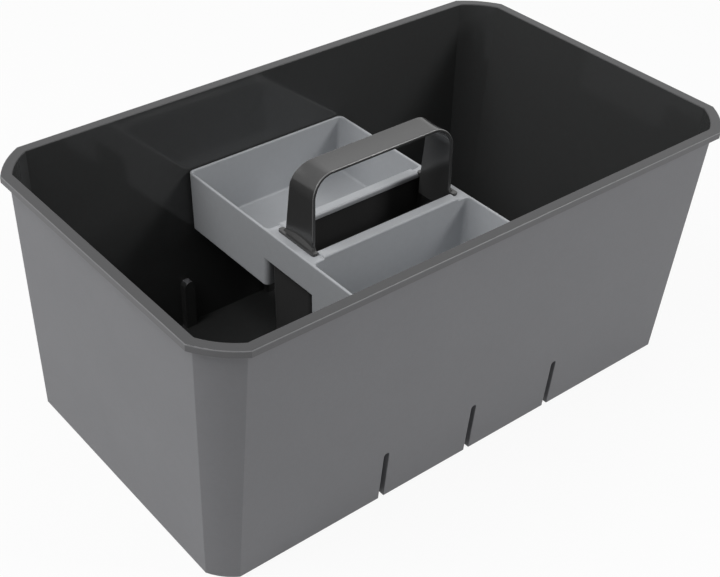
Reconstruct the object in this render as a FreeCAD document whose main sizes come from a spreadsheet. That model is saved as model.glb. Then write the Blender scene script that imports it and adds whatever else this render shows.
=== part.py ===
import FreeCAD, Part
import math
import os
import Sketcher

# Tool storage caddy: a tapered open tub with a lift-out insert that stands across its middle.
# X runs along the tub, Y across it and Z up from its underside. All sizes are in millimetres.

SIZES = [
    # Tub
    ("rim_length", 500.0),
    ("rim_width", 289.6),
    ("tub_height", 216.0),
    ("rim_overhang", 5.75),
    ("rim_skirt", 5.3),
    ("base_length", 468.2),
    ("base_width", 256.0),
    ("tub_wall", 2.6),
    ("tub_floor", 3.0),
    ("rim_corner", 28.8),
    ("wall_corner", 24.6),
    ("base_corner", 17.2),
    ("corner_bow", 2.7),
    ("rim_round", 0.8),
    ("foot_ring", 12.0),
    ("foot_recess", 1.0),
    # Nesting ribs of the long walls, hollow from outside
    ("rib_pitch", 87.5),
    ("groove_width", 5.2),
    ("groove_depth", 6.5),
    ("groove_top", 46.0),
    # Two-compartment tray
    ("tray_top", 151.0),
    ("tray_bottom", 98.0),
    ("tray_play", 1.0),
    ("tray_draft", 1.6),
    ("tray_wall", 2.4),
    ("tray_floor", 2.0),
    ("tray_corner", 5.0),
    ("tray_round", 1.1),
    ("pocket_round", 2.0),
    ("gap_width", 51.2),
    ("bridge_bottom", 124.0),
    ("bridge_corner", 4.5),
    ("ledge_thickness", 2.0),
    ("ledge_width", 9.8),
    ("mouth_play", 0.3),
    ("mouth_side", 1.7),
    ("lip_rise", 2.2),
    ("lip_round", 1.9),
    # Centre bin that carries the tray
    ("bin_play", 0.4),
    ("bin_wall", 2.0),
    ("bin_floor", 2.4),
    ("bin_end_taper", 6.3),
    ("bin_side_taper", 4.7),
    ("bin_corner", 4.0),
    ("bin_round", 2.0),
    ("bin_foot_gap", 0.2),
    # Carry handle
    ("grip_top", 213.3),
    ("handle_length", 141.0),
    ("strap_thickness", 3.6),
    ("bend_radius", 20.0),
    ("foot_width", 33.2),
    ("shoulder_width", 28.4),
    ("grip_width", 22.4),
    ("shoulder_bow", 110.0),
    ("dish_lip", 0.25),
    ("dish_radius", 120.0),
    ("strap_round", 0.9),
    ("flange_width", 43.0),
    ("flange_reach", 2.9),
    ("flange_inset", 2.4),
    ("flange_thickness", 2.2),
    ("flange_corner", 2.0),
    ("flare_reach", 1.6),
    ("flare_height", 5.0),
    ("flange_play", 0.4),
    ("tongue_depth", 15.0),
    ("hook_width", 16.0),
    ("hook_height", 3.0),
    ("hook_drop", 8.0),
    ("hook_play", 0.3),
]

doc = FreeCAD.newDocument("tool_storage_caddy")
sheet = doc.addObject("Spreadsheet::Sheet", "Sizes")
for row, (alias, number) in enumerate(SIZES, start=1):
    sheet.set("A%d" % row, alias)
    sheet.set("B%d" % row, str(number))
    sheet.setAlias("B%d" % row, alias)
doc.recompute()


class Dim:
    """A size together with the sheet formula that drives it."""

    def __init__(self, value, text):
        self.value = float(value)
        self.text = text

    def join(self, other, sign, value):
        return Dim(value, "(%s %s %s)" % (self.text, sign, other.text))

    def __add__(self, other):
        other = dim(other)
        return self.join(other, "+", self.value + other.value)

    def __sub__(self, other):
        other = dim(other)
        return self.join(other, "-", self.value - other.value)

    def __mul__(self, other):
        other = dim(other)
        return self.join(other, "*", self.value * other.value)

    def __truediv__(self, other):
        other = dim(other)
        return self.join(other, "/", self.value / other.value)

    def __neg__(self):
        return Dim(-self.value, "(0 - %s)" % self.text)


def dim(source):
    """A Dim from a sheet alias, a plain number or a Dim."""
    if isinstance(source, Dim):
        return source
    if isinstance(source, str):
        return Dim(getattr(sheet, source), "Sizes." + source)
    return Dim(source, "%.6f" % source)


def at_height(low, high, z_low, z_high, z):
    """The half size of a tapered wall at height z."""
    return low + (high - low) * (z - z_low) / (z_high - z_low)


def tub_inside_half(height):
    """Half the width of the tub's inside at that height."""
    low = dim("base_width") / 2
    high = dim("rim_width") / 2 - dim("rim_overhang")
    return at_height(low, high, dim(0.0), dim("tub_height"), height) - dim("tub_wall")


def tray_half_length():
    return dim("handle_length") / 2 + dim("ledge_width")


def flange_inner():
    """Where the handle's foot flanges begin, beside the ends of the tray's lips."""
    return dim("handle_length") / 2 - dim("flange_inset")


def new_body(label):
    body = doc.addObject("PartDesign::Body", label)
    body.Label = label
    return body


def plane(body, role):
    """The body's own origin plane with that role."""
    return next(item for item in body.Origin.OriginFeatures if item.Role == role)


def new_sketch(body, name, role, lift, tilt=0.0):
    """A sketch on an origin plane, moved out by lift and tilted about its own x axis."""
    sketch = body.newObject("Sketcher::SketchObject", name)
    sketch.AttachmentSupport = [(plane(body, role), "")]
    sketch.MapMode = "FlatFace"
    turn = FreeCAD.Rotation(FreeCAD.Vector(1, 0, 0), tilt)
    sketch.AttachmentOffset = FreeCAD.Placement(FreeCAD.Vector(0, 0, lift.value), turn)
    sketch.setExpression("AttachmentOffset.Base.z", lift.text)
    return sketch


def arc_between(start, end, radius):
    """The short arc from start to end: to the right of the chord for a positive radius."""
    middle = (start + end) * 0.5
    along = end - start
    half = along.Length / 2
    side = FreeCAD.Vector(-along.y, along.x, 0).normalize()
    reach = math.sqrt(max(radius ** 2 - half ** 2, 0.0))
    centre = middle + side * (reach if radius > 0 else -reach)
    first, last = (start, end) if radius > 0 else (end, start)
    angles = [math.atan2(p.y - centre.y, p.x - centre.x) for p in (first, last)]
    circle = Part.Circle(centre, FreeCAD.Vector(0, 0, 1), abs(radius))
    return Part.ArcOfCircle(circle, angles[0], angles[1])


def pin(sketch, item, spot, point):
    """Fix a sketch point by its two distances from the origin."""
    for axis, size in zip(("X", "Y"), point):
        if abs(size.value) < 1e-9:
            line = -2 if axis == "X" else -1
            sketch.addConstraint(Sketcher.Constraint("PointOnObject", item, spot, line))
            continue
        rule = Sketcher.Constraint("Distance" + axis, -1, 1, item, spot, size.value)
        number = sketch.addConstraint(rule)
        sketch.setExpression("Constraints[%d]" % number, size.text)


def draw(sketch, points, arcs=None, closed=True):
    """Draw a chain of lines through points; arcs maps a segment's number to its radius."""
    arcs = arcs or {}
    corners = [FreeCAD.Vector(x.value, y.value, 0) for x, y in points]
    count = len(points) if closed else len(points) - 1
    ends = []
    for i in range(count):
        start, end = corners[i], corners[(i + 1) % len(corners)]
        radius = arcs.get(i)
        if radius is None:
            item = sketch.addGeometry(Part.LineSegment(start, end), False)
            ends.append((item, 1, 2))
            continue
        item = sketch.addGeometry(arc_between(start, end, radius.value), False)
        ends.append((item, 1, 2) if radius.value > 0 else (item, 2, 1))
    for i, (item, first, last) in enumerate(ends):
        pin(sketch, item, first, points[i])
        if i or closed:
            before = ends[i - 1]
            sketch.addConstraint(Sketcher.Constraint("Coincident", before[0], before[2], item, first))
    if not closed:
        pin(sketch, ends[-1][0], ends[-1][2], points[-1])
    for i, radius in arcs.items():
        size = radius if radius.value > 0 else -radius
        number = sketch.addConstraint(Sketcher.Constraint("Radius", ends[i][0], size.value))
        sketch.setExpression("Constraints[%d]" % number, size.text)


def box_points(low_x, high_x, low_y, high_y):
    return [(low_x, low_y), (high_x, low_y), (high_x, high_y), (low_x, high_y)]


def cornered(low_x, high_x, low_y, high_y, leg, radius):
    """A rectangle whose corners are cut back by leg and closed with arcs of that radius."""
    points = [
        (low_x + leg, low_y), (high_x - leg, low_y),
        (high_x, low_y + leg), (high_x, high_y - leg),
        (high_x - leg, high_y), (low_x + leg, high_y),
        (low_x, high_y - leg), (low_x, low_y + leg),
    ]
    return points, {1: radius, 3: radius, 5: radius, 7: radius}


def centred(half_x, half_y, leg, radius):
    return cornered(-half_x, half_x, -half_y, half_y, leg, radius)


def loft(body, name, cut, sections):
    """Add or cut a ruled loft through outlines given as (height, points, arcs)."""
    sketches = []
    for i, (height, points, arcs) in enumerate(sections):
        sketch = new_sketch(body, "%s_section_%d" % (name, i), "XY_Plane", height)
        draw(sketch, points, arcs)
        sketches.append(sketch)
    kind = "PartDesign::SubtractiveLoft" if cut else "PartDesign::AdditiveLoft"
    feature = body.newObject(kind, name)
    feature.Profile = sketches[0]
    feature.Sections = sketches[1:]
    feature.Ruled = True
    return finish(body, feature)


def extrude(body, name, cut, sketch, length, reverse=False, symmetric=False):
    """Pad or pocket a sketch by a length; a pocket runs against the sketch's normal."""
    feature = body.newObject("PartDesign::Pocket" if cut else "PartDesign::Pad", name)
    feature.Profile = sketch
    feature.setExpression("Length", length.text)
    feature.Reversed = reverse
    if symmetric:
        feature.SideType = "Symmetric"
    return finish(body, feature)


def finish(body, feature):
    body.Tip = feature
    doc.recompute()
    if feature.Shape.isNull() or not feature.Shape.isValid():
        raise RuntimeError("%s of %s is not a valid solid" % (feature.Name, body.Label))
    return feature


def fillet(body, name, radius, wanted):
    """Round every edge of the body's tip for which wanted(edge) is true."""
    base = body.Tip
    names = ["Edge%d" % i for i, edge in enumerate(base.Shape.Edges, start=1) if wanted(edge)]
    feature = body.newObject("PartDesign::Fillet", name)
    feature.Base = (base, names)
    feature.setExpression("Radius", radius.text)
    return finish(body, feature)


def level(edge, height):
    """True for an edge that lies flat at that height."""
    box = edge.BoundBox
    return abs(box.ZMin - height) < 0.01 and abs(box.ZMax - height) < 0.01


# Tub: tapered shell with bowed corners, a turned-over rim and hollow nesting ribs
def make_tub():
    body = new_body("tub")
    height, floor, wall = dim("tub_height"), dim("tub_floor"), dim("tub_wall")
    rim_x, rim_y = dim("rim_length") / 2, dim("rim_width") / 2
    top_x, top_y = rim_x - dim("rim_overhang"), rim_y - dim("rim_overhang")
    base_x, base_y = dim("base_length") / 2, dim("base_width") / 2
    rim_leg, top_leg, base_leg = dim("rim_corner"), dim("wall_corner"), dim("base_corner")
    bow = dim("corner_bow")
    zero = dim(0.0)

    outer = [
        (zero, *centred(base_x, base_y, base_leg, base_leg * bow)),
        (height, *centred(top_x, top_y, top_leg, top_leg * bow)),
    ]
    loft(body, "shell", False, outer)
    rim = new_sketch(body, "rim_outline", "XY_Plane", height - dim("rim_skirt"))
    draw(rim, *centred(rim_x, rim_y, rim_leg, rim_leg * bow))
    extrude(body, "rim", False, rim, dim("rim_skirt"))

    # The inner corners are cut back less than the outer ones, so the wall keeps its thickness
    trim = wall * (2 - math.sqrt(2))
    floor_x = at_height(base_x, top_x, zero, height, floor) - wall
    floor_y = at_height(base_y, top_y, zero, height, floor) - wall
    floor_leg = at_height(base_leg, top_leg, zero, height, floor) - trim
    inner_leg = top_leg - trim
    inner = [
        (floor, *centred(floor_x, floor_y, floor_leg, floor_leg * bow)),
        (height, *centred(top_x - wall, top_y - wall, inner_leg, inner_leg * bow)),
    ]
    loft(body, "inside", True, inner)
    fillet(body, "rim_rounding", dim("rim_round"), lambda edge: level(edge, height.value))

    # Each rib is an arch pressed into a long wall, square to that wall's slope
    slope = (top_y - base_y) / height
    tilt = math.degrees(math.atan(slope.value))
    lean = math.cos(math.radians(tilt))
    wide = dim("groove_width") / 2
    rib_half = wide + wall
    start = dim(3.0)
    for side, word in ((1, "near"), (-1, "far")):
        ribs = new_sketch(body, "rib_arches_" + word, "XZ_Plane", (base_y - wall / 2) * side, side * tilt)
        slots = new_sketch(body, "groove_arches_" + word, "XZ_Plane", (base_y + start) * side, side * tilt)
        for place in (-1, 0, 1):
            x = dim("rib_pitch") * place
            arch(ribs, x, rib_half, floor / 2, dim("groove_top") + wall)
            arch(slots, x, wide, -floor, dim("groove_top"))
        depth = (dim("groove_depth") + wall / 2) * lean
        extrude(body, "ribs_" + word, False, ribs, depth, reverse=side > 0)
        depth = (dim("groove_depth") + start) * lean
        extrude(body, "grooves_" + word, True, slots, depth, reverse=side < 0)

    # The underside stands on a narrow ring
    inset = dim("foot_ring")
    recess = new_sketch(body, "foot_outline", "XY_Plane", zero)
    draw(recess, *centred(base_x - inset, base_y - inset, base_leg, base_leg * bow))
    extrude(body, "foot_recess", True, recess, dim("foot_recess"), reverse=True)
    return body


def arch(sketch, x, half, low, high):
    """A round-topped slot outline."""
    spring = high - half
    points = [(x - half, low), (x + half, low), (x + half, spring), (x, high), (x - half, spring)]
    draw(sketch, points, {2: half, 3: half})


def flared(end_x, side_y, radius, far_x):
    """A lane along X that opens out round the four upright corners at its ends."""
    bend_x, wide_y = end_x - radius, side_y + radius
    points = [
        (-far_x, -wide_y), (-end_x, -wide_y), (-bend_x, -side_y), (bend_x, -side_y), (end_x, -wide_y),
        (far_x, -wide_y), (far_x, wide_y), (end_x, wide_y), (bend_x, side_y), (-bend_x, side_y),
        (-end_x, wide_y), (-far_x, wide_y),
    ]
    return points, {1: -radius, 3: -radius, 7: -radius, 9: -radius}


# Tray: two open compartments joined by end walls, with a gap between them for the bin
def make_tray():
    body = new_body("insert_tray")
    top, bottom = dim("tray_top"), dim("tray_bottom")
    floor, wall, draft = dim("tray_floor"), dim("tray_wall"), dim("tray_draft")
    half_x = tray_half_length()
    half_y = tub_inside_half(top) - dim("tray_play")
    base_y = tub_inside_half(bottom) - dim("tray_play")
    corner = dim("tray_corner")
    inner_corner = corner - wall / 2
    gap = dim("gap_width") / 2
    loft(body, "block", False, [
        (bottom, *centred(half_x - draft, base_y, corner, corner)),
        (top, *centred(half_x, half_y, corner, corner)),
    ])
    base = bottom + floor
    for side, word in ((-1, "near"), (1, "far")):
        sections = []
        for height, lean, far_y in ((base, draft, base_y), (top, dim(0.0), half_y)):
            spans = [(gap + wall + lean) * side, (far_y - wall) * side]
            low_y, high_y = sorted(spans, key=lambda size: size.value)
            reach = half_x - wall - lean
            sections.append((height, *cornered(-reach, reach, low_y, high_y, inner_corner, inner_corner)))
        loft(body, "compartment_" + word, True, sections)
    fillet(body, "edge_rounding", dim("tray_round"), lambda edge: level(edge, top.value))
    fillet(body, "pocket_rounding", dim("pocket_round"), lambda edge: level(edge, base.value))

    # The gap is open below, up to a thin ledge under the handle's feet and the lips
    under = top - dim("ledge_thickness")
    reach = half_x - wall
    foot = bottom - 1
    low_y = gap + draft
    loft(body, "gap", True, [
        (foot, *centred(reach - draft, low_y, dim(2.0), dim(2.0))),
        (under, *centred(reach, gap, dim(2.0), dim(2.0))),
    ])
    sections = []
    for height in (foot, dim("bridge_bottom")):
        side_y = at_height(low_y, gap, foot, under, height) - 0.05
        end_x = at_height(half_x - draft, half_x, bottom, top, height) + 0.05
        sections.append((height, *flared(end_x, side_y, dim("bridge_corner"), half_x + 5)))
    loft(body, "bridge_arch", True, sections)
    mouth = new_sketch(body, "mouth_outline", "XY_Plane", top + 1)
    mouth_x = dim("handle_length") / 2 + dim("mouth_play")
    mouth_y = dim("foot_width") / 2 + dim("mouth_side")
    draw(mouth, box_points(-mouth_x, mouth_x, -mouth_y, mouth_y))
    extrude(body, "mouth", True, mouth, dim("ledge_thickness") + 2)

    # Raised lips run along both sides of the gap and stop short of the handle's feet
    lips = new_sketch(body, "lip_outline", "XY_Plane", under)
    lip_x = flange_inner() - dim("flange_play")
    far = gap + wall
    draw(lips, box_points(-lip_x, lip_x, mouth_y, far))
    draw(lips, box_points(-lip_x, lip_x, -far, -mouth_y))
    extrude(body, "lips", False, lips, dim("ledge_thickness") + dim("lip_rise"))
    crest = top.value + dim("lip_rise").value
    fillet(body, "lip_rounding", dim("lip_round"), lambda edge: level(edge, crest))
    return body


# Centre bin: a deep drafted box that stands on the tub's floor and holds the tray up by its ledge
def make_bin():
    body = new_body("centre_bin")
    play, wall, corner = dim("bin_play"), dim("bin_wall"), dim("bin_corner")
    top = dim("tray_top") - dim("ledge_thickness")
    bottom = dim("tub_floor") + dim("bin_foot_gap")
    top_x = tray_half_length() - dim("tray_wall") - play
    top_y = dim("gap_width") / 2 - play
    base_x, base_y = top_x - dim("bin_end_taper"), top_y - dim("bin_side_taper")
    loft(body, "box", False, [
        (bottom, *centred(base_x, base_y, corner, corner)),
        (top, *centred(top_x, top_y, corner, corner)),
    ])
    floor = bottom + dim("bin_floor")
    floor_x = at_height(base_x, top_x, bottom, top, floor) - wall
    floor_y = at_height(base_y, top_y, bottom, top, floor) - wall
    inner = corner - wall / 2
    loft(body, "hollow", True, [
        (floor, *centred(floor_x, floor_y, inner, inner)),
        (top, *centred(top_x - wall, top_y - wall, inner, inner)),
    ])
    fillet(body, "bin_rounding", dim("bin_round"), lambda edge: level(edge, floor.value))

    # Windows in both end walls take the handle's hooks
    window = new_sketch(body, "window_outline", "YZ_Plane", dim(0.0))
    half = dim("hook_width") / 2 + dim("hook_play")
    catch = top - dim("hook_drop")
    low = catch - dim("hook_height") - dim("hook_play")
    draw(window, box_points(-half, half, low, catch))
    extrude(body, "windows", True, window, top_x * 2 + 10, symmetric=True)
    return body


def runs_along(edge, seat):
    """True for the strap's long edges above the seat, not for the seams across it."""
    box = edge.BoundBox
    return box.YLength < 5 and box.ZMax > seat + 1 and max(box.XLength, box.ZLength) > 6


# Handle: a dished strap bent over the bin, with flanged feet and hooked tongues
def make_handle():
    body = new_body("carry_handle")
    top, thick, bend = dim("grip_top"), dim("strap_thickness"), dim("bend_radius")
    out_x = dim("handle_length") / 2
    in_x = out_x - thick
    seat = dim("tray_top")
    tip = seat - dim("tongue_depth")
    spring = top - bend
    flat_x = out_x - bend
    strap = new_sketch(body, "strap_profile", "XZ_Plane", dim(0.0))
    points = [
        (in_x, tip), (out_x, tip), (out_x, spring), (flat_x, top), (-flat_x, top), (-out_x, spring),
        (-out_x, tip), (-in_x, tip), (-in_x, spring), (-flat_x, top - thick), (flat_x, top - thick),
        (in_x, spring),
    ]
    inner_bend = -(bend - thick)
    draw(strap, points, {2: bend, 4: bend, 8: inner_bend, 10: inner_bend})
    extrude(body, "strap", False, strap, dim("foot_width") * 1.2, symmetric=True)

    # Seen along X the strap narrows from its feet to the grip
    foot, shoulder, grip = dim("foot_width") / 2, dim("shoulder_width") / 2, dim("grip_width") / 2
    wide = dim("foot_width")
    trims = new_sketch(body, "side_trims", "YZ_Plane", dim(0.0))
    over = top + 5
    under = tip - 5
    bow = dim("shoulder_bow")
    right = [
        (foot, under), (wide, under), (wide, over), (grip, over), (grip, top), (shoulder, spring), (foot, seat),
    ]
    left = [(-x, y) for x, y in reversed(right)]
    draw(trims, right, {4: -bow})
    draw(trims, left, {1: -bow})
    extrude(body, "side_shape", True, trims, dim("handle_length") + 20, symmetric=True)

    # The outer face is dished across its width, all along the strap
    path = new_sketch(body, "dish_path", "XZ_Plane", dim(0.0))
    start = tip - 2
    route = [(out_x, start), (out_x, spring), (flat_x, top), (-flat_x, top), (-out_x, spring), (-out_x, start)]
    draw(path, route, {1: bend, 3: bend}, closed=False)
    radius = dim("dish_radius")
    reach = dim("foot_width") * 0.55
    sag = radius.value - math.sqrt(radius.value ** 2 - reach.value ** 2)
    depth = foot * foot / (radius * 2) + dim("dish_lip")
    edge_x = out_x - depth + sag
    lens = new_sketch(body, "dish_section", "XY_Plane", start)
    draw(lens, [(edge_x, -reach), (edge_x, reach)], {1: radius})
    dish = body.newObject("PartDesign::SubtractivePipe", "dish")
    dish.Profile = lens
    dish.Spine = (path, ["Edge%d" % i for i in range(1, 6)])
    finish(body, dish)
    fillet(body, "strap_rounding", dim("strap_round"), lambda edge: runs_along(edge, seat.value))

    # Flanged feet sit on the tray's ledge beside the ends of its lips
    feet = new_sketch(body, "foot_flanges", "XY_Plane", seat)
    inner = flange_inner()
    outer = out_x + dim("flange_reach")
    half = dim("flange_width") / 2
    corner = dim("flange_corner")
    draw(feet, *cornered(inner, outer, -half, half, corner, corner))
    draw(feet, *cornered(-outer, -inner, -half, half, corner, corner))
    extrude(body, "feet", False, feet, dim("flange_thickness"))

    # The strap flares out where it stands on each flange
    low, spread = dim("flange_thickness") / 2, dim("flare_reach")
    core = (thick - depth) / 4
    root, tuck = in_x + core, out_x - depth - core
    for side, word in ((-1, "left"), (1, "right")):
        sections = []
        for height, end_x, end_y in (
            (seat + low, out_x + spread, foot + spread),
            (seat + low + dim("flare_height"), tuck, foot - spread),
        ):
            low_x, high_x = sorted([root * side, end_x * side], key=lambda size: size.value)
            sections.append((height, box_points(low_x, high_x, -end_y, end_y), None))
        loft(body, "flare_" + word, False, sections)

    # Hooks on the tongues reach through the bin's end walls
    catch = seat - dim("ledge_thickness") - dim("hook_drop") - dim("hook_play") / 2
    low = catch - dim("hook_height")
    end_x = tray_half_length() - dim("tray_wall") - dim("bin_play") * 2
    root = in_x + thick / 3
    hooks = new_sketch(body, "hook_profile", "XZ_Plane", dim(0.0))
    draw(hooks, [(root, low - 2), (end_x, low + 1), (end_x, catch), (root, catch)])
    draw(hooks, [(-root, catch), (-end_x, catch), (-end_x, low + 1), (-root, low - 2)])
    extrude(body, "hooks", False, hooks, dim("hook_width"), symmetric=True)
    return body


pieces = [make_tub(), make_tray(), make_bin(), make_handle()]
doc.recompute()

for item in doc.Objects:
    if "Invalid" in item.State or "Error" in item.State:
        raise RuntimeError("%s has failed: %s" % (item.Name, item.State))
for piece in pieces:
    shape = piece.Shape
    if shape.isNull() or not shape.isValid() or len(shape.Solids) != 1:
        raise RuntimeError("%s is not one valid solid" % piece.Label)

os.makedirs("parts", exist_ok=True)
for piece in pieces:
    piece.Shape.exportStep("parts/%s.step" % piece.Label)
    box = piece.Shape.optimalBoundingBox(False)
    print("%-14s volume %9.0f  x %.1f..%.1f  y %.1f..%.1f  z %.1f..%.1f" % (
        piece.Label, piece.Shape.Volume, box.XMin, box.XMax, box.YMin, box.YMax, box.ZMin, box.ZMax))
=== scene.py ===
import math

import bpy
import numpy as np
from bpy.props import FloatProperty, FloatVectorProperty, PointerProperty
from mathutils import Matrix, Vector


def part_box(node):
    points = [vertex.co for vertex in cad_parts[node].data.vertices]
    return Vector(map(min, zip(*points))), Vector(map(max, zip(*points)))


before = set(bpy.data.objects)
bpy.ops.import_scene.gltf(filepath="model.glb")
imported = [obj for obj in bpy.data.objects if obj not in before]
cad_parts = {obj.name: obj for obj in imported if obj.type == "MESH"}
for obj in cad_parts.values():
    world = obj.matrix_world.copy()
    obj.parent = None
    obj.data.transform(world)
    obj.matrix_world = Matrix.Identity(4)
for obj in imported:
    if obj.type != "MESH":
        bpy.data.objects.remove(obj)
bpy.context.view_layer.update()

bl_info = {
    "name": "Tool Storage Caddy",
    "version": (1, 0, 0),
    "blender": (4, 5, 0),
    "location": "View3D > Sidebar > Caddy",
    "description": "Finishes and studio for a moulded tool tub with a lift-out insert",
    "category": "Object",
}

# The tub's rim and the ribs in its long walls, in metres.
# A long wall stands at WALL_FOOT from the middle line and leans outwards by WALL_LEAN per metre.
# Each rib stands RIB_REACH into the tub, RIB_FLANK beyond the sides of the groove behind it.
RIM_SKIRT = 0.0053
RIB_PITCH = 0.0875
RIB_FOOT = 0.0015
RIB_TOP = 0.0502
RIB_REACH = 0.0105
RIB_FLANK = 0.0028
GROOVE_HALF = 0.0027
GROOVE_DEPTH = 0.0065
WALL_FOOT = 0.1280
WALL_LEAN = 0.0512
BELOW_INSERT = 0.1

# Limits for sorting faces by how far they look up or, on the strap, sideways: 0 is not at all, 1 fully
LEVEL = 0.9
TURNED_IN = 0.3
UPRIGHT = 0.15
ROUND_TOP = 0.93
ROUND_SIDE = 0.25

# The handle's strap, in metres: where it leaves its feet, and the height that its arch turns about
STRAP_FOOT = 0.160
ARCH_MIDDLE = 0.170

# Slack for telling one surface from the next, in metres
RIM_SLACK = 0.0002
WALL_SLACK = 0.0004
GROOVE_SLACK = 0.001

# Grain and marks: how dense and high the broad pits are beside the fine ones, how sharply smudges
# end, and how dense, long and strong the streaks in them are
BROAD_DENSITY = 0.22
FINE_HEIGHT, BROAD_HEIGHT = 0.65, 0.35
FINE_TONE, BROAD_TONE = 0.5, 0.5
SMUDGE_RANGE = (-0.9, 1.9)
STREAK_DENSITY = 3.0
STREAK_STRETCH = (1.0, 1.0, 9.0)
STREAK_RANGE = (0.4, 1.4)

# Plastic: tone of the speckle, the dust and the painted edge highlight, what marks and pits add to the
# roughness, and the depth of the pits in metres
SPECKLE = 0.10
DUST_SHARE, DUST_LIFT = 0.93, 0.012
HIGHLIGHT_LIFT = 0.01
MARK_DULLNESS = 0.16
PIT_DULLNESS = 0.06
PIT_DEPTH = 0.0002

# Lamps: where each stands, what it is aimed at and its width and height, in metres
KEY_LAMP = ((-1.2, 0.3, 1.65), (0.0, 0.0, 0.1), (1.2, 1.2))
FILL_LAMP = ((1.1, -1.2, 1.25), (0.0, 0.0, 0.1), (0.5, 0.5))
BACK_LAMP = ((0.95, 0.74, 1.35), (0.0, 0.0, 0.15), (1.5, 1.1))

# Floor: half its width and how far it lies under the tub, in metres, its own grey, and the share of
# white that is seen in it
FLOOR_REACH = 6.0
FLOOR_DROP = 0.0005
FLOOR_GREY = 0.86
FLOOR_WHITE = 0.92
WHITE = (1.0, 1.0, 1.0, 1.0)


# Settings

class CaddyColours(bpy.types.PropertyGroup):
    """Plain colours of the mouldings, in linear light."""

    tub_outside: FloatVectorProperty(
        name="Tub Outside", description="Textured grey of the outer walls",
        default=(0.165, 0.166, 0.176), subtype="COLOR", min=0.0, max=1.0)
    tub_rim: FloatVectorProperty(
        name="Tub Rim", description="Smooth dark grey of the turned-over rim",
        default=(0.044, 0.044, 0.046), subtype="COLOR", min=0.0, max=1.0)
    # Painted shade: the skirt is the outer walls' plastic, given a darker grey for the shade under the
    # rim
    rim_skirt: FloatVectorProperty(
        name="Rim Skirt", description="Grey of the upright skirt under the rim",
        default=(0.092, 0.092, 0.096), subtype="COLOR", min=0.0, max=1.0)
    # Painted highlight: a pale grey given to the rim's rounded outer edge for the light it catches
    rim_edge_highlight: FloatVectorProperty(
        name="Rim Edge", description="Burnished grey of the rim's rounded outer edge",
        default=(0.175, 0.175, 0.180), subtype="COLOR", min=0.0, max=1.0)
    tub_inside: FloatVectorProperty(
        name="Tub Inside", description="Smooth dark lining of the tub",
        default=(0.054, 0.055, 0.055), subtype="COLOR", min=0.0, max=1.0)
    tray: FloatVectorProperty(
        name="Tray", description="Light grey of the two compartments",
        default=(0.45, 0.464, 0.483), subtype="COLOR", min=0.0, max=1.0)
    bin: FloatVectorProperty(
        name="Bin", description="Black of the centre bin",
        default=(0.044, 0.044, 0.044), subtype="COLOR", min=0.0, max=1.0)
    handle: FloatVectorProperty(
        name="Handle", description="Black of the carry handle",
        default=(0.050, 0.050, 0.050), subtype="COLOR", min=0.0, max=1.0)
    # Painted highlight: a pale grey given to the strap's rounded outer edges for the light they catch
    handle_edge_highlight: FloatVectorProperty(
        name="Handle Edge", description="Burnished grey of the strap's rounded outer edges",
        default=(0.19, 0.19, 0.19), subtype="COLOR", min=0.0, max=1.0)


class CaddyFinish(bpy.types.PropertyGroup):
    """Surface texture of the mouldings."""

    grain_size: FloatProperty(
        name="Grain Size", description="Distance between the pits of the moulded texture",
        default=0.0011, min=0.0002, max=0.01, unit="LENGTH")
    smudge_size: FloatProperty(
        name="Smudge Size", description="Width of the soft handling marks",
        default=0.06, min=0.005, max=0.5, unit="LENGTH")
    edge_round: FloatProperty(
        name="Edge Rounding", description="Radius at which edges catch the light",
        default=0.0009, min=0.0, max=0.005, unit="LENGTH")


class CaddyStudio(bpy.types.PropertyGroup):
    """Camera, lamps and floor."""

    azimuth: FloatProperty(
        name="Azimuth", description="Bearing of the camera round the tub",
        default=math.radians(-37.95), subtype="ANGLE")
    elevation: FloatProperty(
        name="Elevation", description="Height of the camera above the horizon",
        default=math.radians(35.35), subtype="ANGLE")
    roll: FloatProperty(
        name="Roll", description="Turn of the camera about its own line of sight",
        default=math.radians(1.21), subtype="ANGLE")
    distance: FloatProperty(
        name="Distance", description="From the camera to the point that it turns about",
        default=1.03186, unit="LENGTH")
    target: FloatVectorProperty(
        name="Target", description="Point that the camera turns about",
        default=(-0.06935, 0.03290, 0.11977), subtype="XYZ")
    lens: FloatProperty(
        name="Lens", description="Focal length for a sensor 36 mm wide", default=66.42, min=10.0)
    shift: FloatVectorProperty(
        name="Shift", description="Sideways and upward shift of the lens",
        default=(0.1222, -0.0455), size=2)
    ambient: FloatProperty(
        name="Ambient", description="Strength of the even light from all round", default=0.38, min=0.0)
    shade: FloatProperty(
        name="Shade", description="Share of the even light that is missing on the camera's side",
        default=0.6, min=0.0, max=1.0, subtype="FACTOR")
    key: FloatProperty(
        name="Key", description="Power of the large high lamp on the left",
        default=22.0, min=0.0, subtype="POWER")
    fill: FloatProperty(
        name="Fill", description="Power of the lamp on the right",
        default=11.0, min=0.0, subtype="POWER")
    back: FloatProperty(
        name="Back", description="Power of the high lamp behind the tub, which shines along the handle",
        default=1.6, min=0.0, subtype="POWER")


# Shader node groups

def new_group(name, inputs, outputs):
    """A shader node group with named float or colour sockets; returns it with its two end nodes."""
    group = bpy.data.node_groups.new(name, "ShaderNodeTree")
    for title, kind, value in inputs:
        socket = group.interface.new_socket(name=title, in_out="INPUT", socket_type=kind)
        if value is not None:
            socket.default_value = value
    for title, kind in outputs:
        group.interface.new_socket(name=title, in_out="OUTPUT", socket_type=kind)
    return group, group.nodes.new("NodeGroupInput"), group.nodes.new("NodeGroupOutput")


def noise(tree, vector, scale, detail, roughness):
    """Noise from 0 to 1 at a fixed or linked scale."""
    node = tree.nodes.new("ShaderNodeTexNoise")
    node.inputs["Detail"].default_value = detail
    node.inputs["Roughness"].default_value = roughness
    tree.links.new(vector, node.inputs["Vector"])
    if isinstance(scale, (int, float)):
        node.inputs["Scale"].default_value = scale
    else:
        tree.links.new(scale, node.inputs["Scale"])
    return node.outputs["Fac"]


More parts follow.
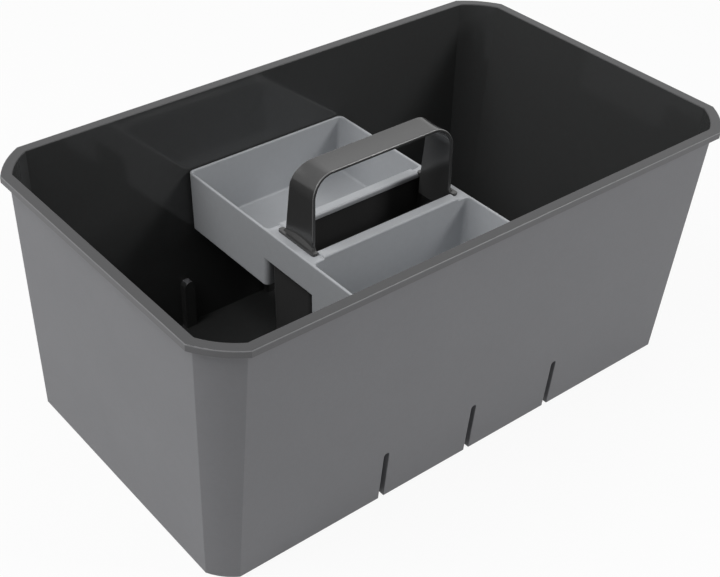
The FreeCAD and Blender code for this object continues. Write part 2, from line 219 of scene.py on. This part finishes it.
def maths(tree, operation, first, second=None, third=None, clamp=False):
    """One sum of up to three numbers or sockets."""
    node = tree.nodes.new("ShaderNodeMath")
    node.operation = operation
    node.use_clamp = clamp
    for socket, value in zip(node.inputs, (first, second, third)):
        if value is None:
            continue
        if isinstance(value, (int, float)):
            socket.default_value = value
        else:
            tree.links.new(value, socket)
    return node.outputs[0]


def spread(tree, value, low, high):
    """Carry a value from 0..1 to low..high."""
    node = tree.nodes.new("ShaderNodeMapRange")
    for title, end in (("To Min", low), ("To Max", high)):
        if isinstance(end, (int, float)):
            node.inputs[title].default_value = end
        else:
            tree.links.new(end, node.inputs[title])
    tree.links.new(value, node.inputs["Value"])
    return node.outputs["Result"]


def mix_colour(tree, factor, first, second):
    """Blend from the first colour to the second as the factor goes from 0 to 1.

    The node has sockets of one name for each kind of value, so its colour sockets go by number.
    """
    node = tree.nodes.new("ShaderNodeMix")
    node.data_type = "RGBA"
    tree.links.new(factor, node.inputs[0])
    for socket, value in ((node.inputs[6], first), (node.inputs[7], second)):
        if isinstance(value, (tuple, list)):
            socket.default_value = value
        else:
            tree.links.new(value, socket)
    return node.outputs[2]


def moulded_grain():
    """Pitted mould texture: fine noise over broader noise, as a height and a tone."""
    group, start, end = new_group(
        "moulded_grain",
        [("Vector", "NodeSocketVector", None), ("Pits per Metre", "NodeSocketFloat", 900.0)],
        [("Height", "NodeSocketFloat"), ("Tone", "NodeSocketFloat")])
    vector, pits = start.outputs["Vector"], start.outputs["Pits per Metre"]
    fine = noise(group, vector, pits, detail=2.0, roughness=0.6)
    sparse = maths(group, "MULTIPLY", pits, BROAD_DENSITY)
    broad = noise(group, vector, sparse, detail=3.0, roughness=0.55)
    height = maths(group, "MULTIPLY", fine, FINE_HEIGHT)
    height = maths(group, "MULTIPLY_ADD", broad, BROAD_HEIGHT, height)
    tone = maths(group, "MULTIPLY", broad, BROAD_TONE)
    tone = maths(group, "MULTIPLY_ADD", fine, FINE_TONE, tone)
    group.links.new(height, end.inputs["Height"])
    group.links.new(tone, end.inputs["Tone"])
    return group


def handling_marks():
    """Soft smudges and thin streaks left by handling, as a mask from 0 to 1."""
    group, start, end = new_group(
        "handling_marks",
        [("Vector", "NodeSocketVector", None), ("Marks per Metre", "NodeSocketFloat", 16.0)],
        [("Mask", "NodeSocketFloat")])
    vector, marks = start.outputs["Vector"], start.outputs["Marks per Metre"]
    cloud = noise(group, vector, marks, detail=4.0, roughness=0.6)
    soft = spread(group, cloud, *SMUDGE_RANGE)
    streak = group.nodes.new("ShaderNodeMapping")
    streak.inputs["Scale"].default_value = STREAK_STRETCH
    group.links.new(vector, streak.inputs["Vector"])
    dense = maths(group, "MULTIPLY", marks, STREAK_DENSITY)
    lines = noise(group, streak.outputs["Vector"], dense, detail=2.0, roughness=0.5)
    both = maths(group, "MULTIPLY", soft, spread(group, lines, *STREAK_RANGE), clamp=True)
    group.links.new(both, end.inputs["Mask"])
    return group


def edge_light():
    """Edges for a painted highlight: how far the rounded normal leaves the flat one, as a mask from 0
    to 1.
    """
    group, start, end = new_group(
        "edge_light",
        [("Radius", "NodeSocketFloat", 0.001), ("Strength", "NodeSocketFloat", 4.0)],
        [("Mask", "NodeSocketFloat"), ("Normal", "NodeSocketVector")])
    bevel = group.nodes.new("ShaderNodeBevel")
    bevel.samples = 6
    group.links.new(start.outputs["Radius"], bevel.inputs["Radius"])
    flat = group.nodes.new("ShaderNodeNewGeometry")
    dot = group.nodes.new("ShaderNodeVectorMath")
    dot.operation = "DOT_PRODUCT"
    group.links.new(bevel.outputs["Normal"], dot.inputs[0])
    group.links.new(flat.outputs["Normal"], dot.inputs[1])
    away = maths(group, "SUBTRACT", 1.0, dot.outputs["Value"])
    mask = maths(group, "MULTIPLY", away, start.outputs["Strength"], clamp=True)
    group.links.new(mask, end.inputs["Mask"])
    group.links.new(bevel.outputs["Normal"], end.inputs["Normal"])
    return group


def shared_group(maker):
    """Build a node group once and give the same one to every material."""
    return bpy.data.node_groups.get(maker.__name__) or maker()


def place(tree, maker, **values):
    """Place a shared group in a material; values name its inputs, with _ for a space."""
    node = tree.nodes.new("ShaderNodeGroup")
    node.node_tree = shared_group(maker)
    for title, value in values.items():
        socket = node.inputs[title.replace("_", " ")]
        if isinstance(value, (int, float)):
            socket.default_value = value
        else:
            tree.links.new(value, socket)
    return node


# Materials

def moulded_plastic(name, colour, roughness, grain, marks, edge=0.0, paler=1.3):
    """Moulded plastic with pitted grain, handling marks and, where edge isn't zero, paler edges as a
    painted highlight.

    grain and marks are strengths from 0 to 1, edge is the strength of the painted edge highlight and
    paler its tone.
    """
    finish = bpy.context.scene.caddy_finish
    material = bpy.data.materials.new(name)
    material.use_nodes = True
    tree = material.node_tree
    shader = tree.nodes["Principled BSDF"]
    vector = tree.nodes.new("ShaderNodeTexCoord").outputs["Object"]
    pits = place(tree, moulded_grain, Vector=vector, Pits_per_Metre=1.0 / finish.grain_size)
    smudge = place(tree, handling_marks, Vector=vector, Marks_per_Metre=1.0 / finish.smudge_size)

    # Tone: speckle of the grain first, then smudges, then paler edges as a painted highlight
    dark = tuple((1.0 - SPECKLE) * c for c in colour) + (1.0,)
    light = tuple((1.0 + SPECKLE) * c for c in colour) + (1.0,)
    dusty = tuple(DUST_SHARE * c + DUST_LIFT for c in colour) + (1.0,)
    highlit = tuple(min(1.0, paler * c + HIGHLIGHT_LIFT) for c in colour) + (1.0,)
    tone = mix_colour(tree, pits.outputs["Tone"], dark, light)
    tone = mix_colour(tree, maths(tree, "MULTIPLY", smudge.outputs["Mask"], marks), tone, dusty)
    bump = tree.nodes.new("ShaderNodeBump")
    # Painted highlight: a paler tone along the rounded edges
    if edge:
        wear = place(tree, edge_light, Radius=finish.edge_round, Strength=edge)
        tone = mix_colour(tree, wear.outputs["Mask"], tone, highlit)
        tree.links.new(wear.outputs["Normal"], bump.inputs["Normal"])
    tree.links.new(tone, shader.inputs["Base Color"])

    # Gloss: duller where it was handled and in the pits
    rough = spread(tree, smudge.outputs["Mask"], roughness, roughness + MARK_DULLNESS * marks)
    rough = maths(tree, "MULTIPLY_ADD", pits.outputs["Tone"], PIT_DULLNESS, rough)
    tree.links.new(rough, shader.inputs["Roughness"])
    bump.inputs["Strength"].default_value = grain
    bump.inputs["Distance"].default_value = PIT_DEPTH
    tree.links.new(pits.outputs["Height"], bump.inputs["Height"])
    tree.links.new(bump.outputs["Normal"], shader.inputs["Normal"])
    return material


def dress(node, *materials):
    """Give a CAD node its materials, in order."""
    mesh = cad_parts[node].data
    mesh.materials.clear()
    for material in materials:
        mesh.materials.append(material)
    return mesh


def share_out(mesh, slots):
    """Give every face the material in its slot."""
    mesh.polygons.foreach_set("material_index", slots.astype(np.int32))
    mesh.update()


def face_centres(mesh):
    """Middle and normal of every face as arrays."""
    count = len(mesh.polygons)
    middle = np.empty(count * 3, np.float32)
    normal = np.empty(count * 3, np.float32)
    mesh.polygons.foreach_get("center", middle)
    mesh.polygons.foreach_get("normal", normal)
    return middle.reshape(-1, 3), normal.reshape(-1, 3)


class CADDY_OT_tub(bpy.types.Operator):
    """Finish the tub: textured grey outside, smooth dark lining, dark rim with a paler edge as a
    painted highlight, its skirt darkened as painted shade, and painted highlights along the other edges
    """

    bl_idname = "caddy.tub"
    bl_label = "Tub"

    def execute(self, context):
        colours = context.scene.caddy_colours
        outside = moulded_plastic(
            "tub_outside", colours.tub_outside, roughness=0.50, grain=0.35, marks=0.25, edge=2.0)
        inside = moulded_plastic(
            "tub_inside", colours.tub_inside, roughness=0.07, grain=0.01, marks=0.08, edge=1.0)
        rim = moulded_plastic("tub_rim", colours.tub_rim, roughness=0.38, grain=0.08, marks=0.2)
        # Skirt: painted shade, darker than the outer walls' grey
        skirt = moulded_plastic("rim_skirt", colours.rim_skirt, roughness=0.40, grain=0.12, marks=0.2)
        # The rim's rounded outer edge: a painted highlight
        edge = moulded_plastic("rim_edge_highlight", colours.rim_edge_highlight, roughness=0.32, grain=0.02, marks=0.1)
        mesh = dress("tub", outside, inside, rim, skirt, edge)
        # Rim bands: painted shade on the skirt, painted highlight on the rounded outer edge
        share_out(mesh, np.where(self.rim(mesh), 2 + self.rim_band(mesh), self.lining(mesh)))
        return {"FINISHED"}

    @staticmethod
    def rim(mesh):
        """True for the faces of the turned-over rim: all above its skirt that don't line the wall."""
        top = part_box("tub")[1].z
        middle, normal = face_centres(mesh)
        inwards = np.sum(middle[:, :2] * normal[:, :2], axis=1) < 0
        lining = inwards & (normal[:, 2] < TURNED_IN)
        return (middle[:, 2] > top - RIM_SKIRT - RIM_SLACK) & ~lining

    @staticmethod
    def rim_band(mesh):
        """Bands of the rim: 0 its top, 1 its upright skirt, 2 its rounded outer edge."""
        middle, normal = face_centres(mesh)
        outwards = np.sum(middle[:, :2] * normal[:, :2], axis=1) > 0
        upright = outwards & (np.abs(normal[:, 2]) < UPRIGHT)
        rounded = outwards & (normal[:, 2] >= UPRIGHT) & (normal[:, 2] < ROUND_TOP)
        return np.where(rounded, 2, upright)

    @staticmethod
    def lining(mesh):
        """True for faces that look into the tub.

        A wall face looks in where its normal points back towards the tub's middle line, measured on
        the nearer pair of walls; a level face looks in where it is the floor's upper side. Low on the
        long walls, each rib's sides and crest look in and only the groove behind it looks out.
        """
        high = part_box("tub")[1]
        middle, normal = face_centres(mesh)
        height = middle[:, 2]
        side = np.sum(middle[:, :2] * normal[:, :2] / np.array([high.x, high.y]) ** 2, axis=1)
        floor = (normal[:, 2] > LEVEL) & (height < BELOW_INSERT)
        inside = np.where(np.abs(normal[:, 2]) < LEVEL, side < 0, floor)
        across = np.abs(middle[:, :1] - RIB_PITCH * np.array([-1.0, 0.0, 1.0])).min(axis=1)
        depth = WALL_FOOT + WALL_LEAN * height - np.abs(middle[:, 1])
        by_rib = (height > RIB_FOOT) & (height < RIB_TOP) & (depth < RIB_REACH) & (depth > WALL_SLACK)
        groove = (across <= GROOVE_HALF) & (depth < GROOVE_DEPTH + GROOVE_SLACK)
        crest = (across <= GROOVE_HALF) & ~groove
        flank = (across > GROOVE_HALF) & (across < GROOVE_HALF + RIB_FLANK)
        inside[by_rib & groove] = False
        inside[by_rib & (crest | flank)] = True
        return inside


class CADDY_OT_tray(bpy.types.Operator):
    """Finish the tray: satin light grey, with a painted highlight along its edges"""

    bl_idname = "caddy.tray"
    bl_label = "Insert Tray"

    def execute(self, context):
        colour = context.scene.caddy_colours.tray
        dress("insert_tray", moulded_plastic(
            "tray_grey", colour, roughness=0.42, grain=0.10, marks=0.3, edge=4.0, paler=1.4))
        return {"FINISHED"}


class CADDY_OT_bin(bpy.types.Operator):
    """Finish the centre bin: satin black, with a painted highlight along its edges"""

    bl_idname = "caddy.bin"
    bl_label = "Centre Bin"

    def execute(self, context):
        colour = context.scene.caddy_colours.bin
        dress("centre_bin", moulded_plastic(
            "bin_black", colour, roughness=0.34, grain=0.08, marks=0.3, edge=1.0))
        return {"FINISHED"}


class CADDY_OT_handle(bpy.types.Operator):
    """Finish the carry handle: smooth glossy black, with a painted highlight on the strap's rounded
    edges
    """

    bl_idname = "caddy.handle"
    bl_label = "Carry Handle"

    def execute(self, context):
        colours = context.scene.caddy_colours
        black = moulded_plastic("handle_black", colours.handle, roughness=0.16, grain=0.01, marks=0.1)
        # The strap's rounded outer edges: a painted highlight
        edge = moulded_plastic("handle_edge_highlight", colours.handle_edge_highlight, roughness=0.16, grain=0.0, marks=0.1)
        mesh = dress("carry_handle", black, edge)
        share_out(mesh, self.edges(mesh))
        return {"FINISHED"}

    @staticmethod
    def edges(mesh):
        """True for the strap's rounded outer edges, which take the painted highlight.

        Their faces look partly sideways and partly outwards from the arch's middle.
        """
        middle, normal = face_centres(mesh)
        sideways = np.abs(normal[:, 1])
        outwards = middle[:, 0] * normal[:, 0] + (middle[:, 2] - ARCH_MIDDLE) * normal[:, 2] > 0
        rounded = (sideways > ROUND_SIDE) & (sideways < ROUND_TOP)
        return (middle[:, 2] > STRAP_FOOT) & outwards & rounded


# Studio

def seen_white(tree, plain, white, share):
    """Blend a shader with a white one for what the camera, mirrors and glass look at."""
    path = tree.nodes.new("ShaderNodeLightPath")
    looked = maths(tree, "MAXIMUM", path.outputs["Is Camera Ray"], path.outputs["Is Glossy Ray"])
    looked = maths(tree, "MAXIMUM", looked, path.outputs["Is Transmission Ray"])
    white.inputs["Color"].default_value = WHITE
    blend = tree.nodes.new("ShaderNodeMixShader")
    tree.links.new(maths(tree, "MULTIPLY", looked, share), blend.inputs[0])
    tree.links.new(plain, blend.inputs[1])
    tree.links.new(white.outputs[0], blend.inputs[2])
    return blend.outputs[0]


def soft_lamp(name, power, place_at, look_at, size):
    """Flat rectangular lamp that is turned towards a point."""
    data = bpy.data.lights.new(name, "AREA")
    data.shape = "RECTANGLE"
    data.energy = power
    data.size, data.size_y = size
    lamp = bpy.data.objects.new(name, data)
    lamp.location = place_at
    aim = Vector(look_at) - Vector(place_at)
    lamp.rotation_euler = aim.to_track_quat("-Z", "Y").to_euler()
    bpy.context.scene.collection.objects.link(lamp)


class CADDY_OT_studio(bpy.types.Operator):
    """Make the floor, the lamps, the even light and the camera"""

    bl_idname = "caddy.studio"
    bl_label = "Studio"

    def execute(self, context):
        studio = context.scene.caddy_studio
        self.floor()
        self.surroundings(studio.ambient, studio.shade, studio.azimuth)
        soft_lamp("key_lamp", studio.key, *KEY_LAMP)
        soft_lamp("fill_lamp", studio.fill, *FILL_LAMP)
        soft_lamp("back_lamp", studio.back, *BACK_LAMP)
        self.camera(studio)
        context.scene.view_settings.view_transform = "Standard"
        return {"FINISHED"}

    @staticmethod
    def floor():
        """Flat square under the tub."""
        corners = np.array([(-1, -1), (1, -1), (1, 1), (-1, 1)]) * FLOOR_REACH
        points = np.column_stack([corners, np.full(4, -FLOOR_DROP)])
        mesh = bpy.data.meshes.new("studio_floor")
        mesh.from_pydata(points.tolist(), [], [(0, 1, 2, 3)])
        floor = bpy.data.objects.new("studio_floor", mesh)
        bpy.context.scene.collection.objects.link(floor)
        material = bpy.data.materials.new("studio_floor")
        material.use_nodes = True
        tree = material.node_tree
        shader = tree.nodes["Principled BSDF"]
        shader.inputs["Base Color"].default_value = (FLOOR_GREY, FLOOR_GREY, FLOOR_GREY, 1.0)
        shader.inputs["Roughness"].default_value = 0.9
        shader.inputs["Specular IOR Level"].default_value = 0.0
        end = tree.nodes["Material Output"]
        white = tree.nodes.new("ShaderNodeEmission")
        tree.links.new(seen_white(tree, shader.outputs[0], white, FLOOR_WHITE), end.inputs["Surface"])
        mesh.materials.append(material)

    @staticmethod
    def surroundings(strength, shade, azimuth):
        """Even white light that fades by shade towards the bearing where the camera stands."""
        world = bpy.data.worlds.new("studio_light")
        world.use_nodes = True
        bpy.context.scene.world = world
        tree = world.node_tree
        plain = tree.nodes["Background"]
        plain.inputs["Color"].default_value = WHITE
        bearing = tree.nodes.new("ShaderNodeVectorMath")
        bearing.operation = "DOT_PRODUCT"
        bearing.inputs[1].default_value = (math.sin(azimuth), -math.cos(azimuth), 0.0)
        tree.links.new(tree.nodes.new("ShaderNodeTexCoord").outputs["Generated"], bearing.inputs[0])
        facing = maths(tree, "MAXIMUM", bearing.outputs["Value"], 0.0)
        level = maths(tree, "MULTIPLY_ADD", facing, -shade * strength, strength)
        tree.links.new(level, plain.inputs["Strength"])
        white = tree.nodes.new("ShaderNodeBackground")
        end = tree.nodes["World Output"]
        tree.links.new(seen_white(tree, plain.outputs[0], white, share=1.0), end.inputs["Surface"])

    @staticmethod
    def camera(studio):
        """Camera on a sphere about the target, turned by roll about its line of sight."""
        across, up_angle = studio.azimuth, studio.elevation
        level = math.cos(up_angle)
        back = Vector((math.sin(across) * level, -math.cos(across) * level, math.sin(up_angle)))
        right = Vector((0, 0, 1)).cross(back).normalized()
        up = back.cross(right)
        c, s = math.cos(studio.roll), math.sin(studio.roll)
        right, up = right * c + up * s, up * c - right * s
        data = bpy.data.cameras.new("studio_camera")
        data.sensor_width = 36.0
        data.lens = studio.lens
        data.shift_x, data.shift_y = studio.shift
        data.clip_start, data.clip_end = 0.01, 50.0
        camera = bpy.data.objects.new("studio_camera", data)
        place_at = Vector(studio.target) + back * studio.distance
        turn = Matrix((right, up, back)).transposed().to_4x4()
        camera.matrix_world = Matrix.Translation(place_at) @ turn
        bpy.context.scene.collection.objects.link(camera)
        bpy.context.scene.camera = camera


class CADDY_PT_panel(bpy.types.Panel):
    """Buttons for the pieces and their settings"""

    bl_idname = "CADDY_PT_panel"
    bl_label = "Tool Storage Caddy"
    bl_space_type = "VIEW_3D"
    bl_region_type = "UI"
    bl_category = "Caddy"

    def draw(self, context):
        scene = context.scene
        for settings in (scene.caddy_colours, scene.caddy_finish, scene.caddy_studio):
            box = self.layout.box()
            for title in settings.__annotations__:
                box.prop(settings, title)
        for step in STEPS:
            self.layout.operator(step.bl_idname)


STEPS = (CADDY_OT_tub, CADDY_OT_tray, CADDY_OT_bin, CADDY_OT_handle, CADDY_OT_studio)
CLASSES = (CaddyColours, CaddyFinish, CaddyStudio, *STEPS, CADDY_PT_panel)


def register():
    for item in CLASSES:
        bpy.utils.register_class(item)
    bpy.types.Scene.caddy_colours = PointerProperty(type=CaddyColours)
    bpy.types.Scene.caddy_finish = PointerProperty(type=CaddyFinish)
    bpy.types.Scene.caddy_studio = PointerProperty(type=CaddyStudio)


def unregister():
    del bpy.types.Scene.caddy_studio
    del bpy.types.Scene.caddy_finish
    del bpy.types.Scene.caddy_colours
    for item in reversed(CLASSES):
        bpy.utils.unregister_class(item)


def main():
    register()
    bpy.ops.caddy.tub()
    bpy.ops.caddy.tray()
    bpy.ops.caddy.bin()
    bpy.ops.caddy.handle()
    bpy.ops.caddy.studio()


if __name__ == "__main__":
    main()
